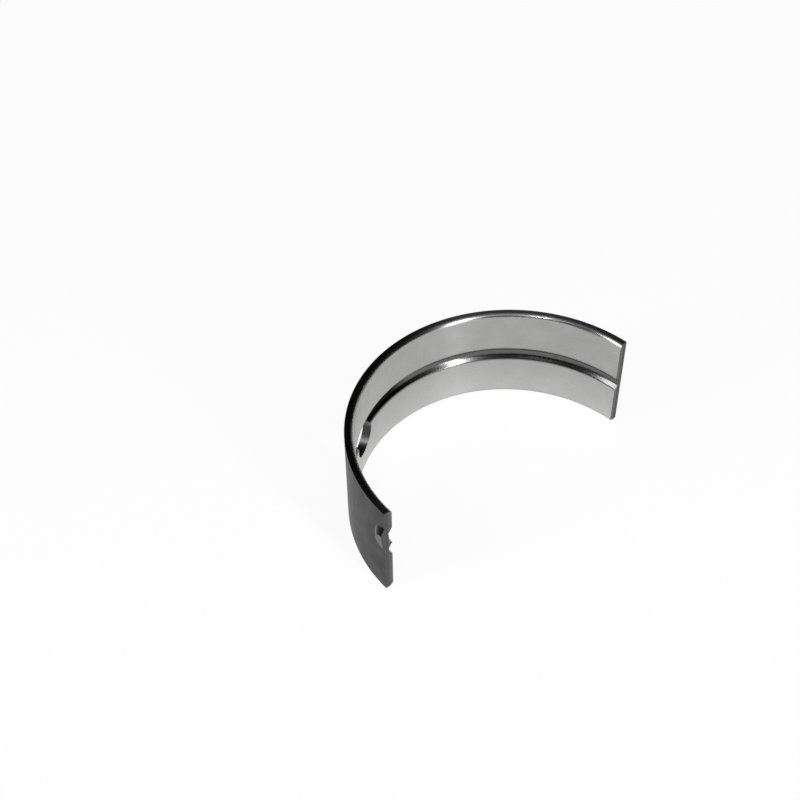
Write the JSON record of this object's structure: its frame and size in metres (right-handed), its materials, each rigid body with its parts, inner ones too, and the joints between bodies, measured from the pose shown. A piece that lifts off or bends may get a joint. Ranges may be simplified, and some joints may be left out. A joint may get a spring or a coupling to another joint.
{
  "type": "engine bearing shell",
  "caption": "Half shell of a plain crankshaft bearing: thin half ring with a bored running face, central oil groove, oil hole and a locating lug at one joint face.",
  "frame": {"origin": "on the bearing's axis at the middle of the shell's width", "axes": "+Z along the bearing's axis, up as the shell stands on its end face; +Y to the crown; the locating lug is at the -X end"},
  "size_m": [0.0913, 0.0434, 0.0306],
  "materials": {
    "bearing_shell": "steel strip with a fine-bored satin lining on the inside and a dull grey back"
  },
  "bodies": {
    "root": {"bearing_shell": "bearing_shell"}
  },
  "joints": []
}
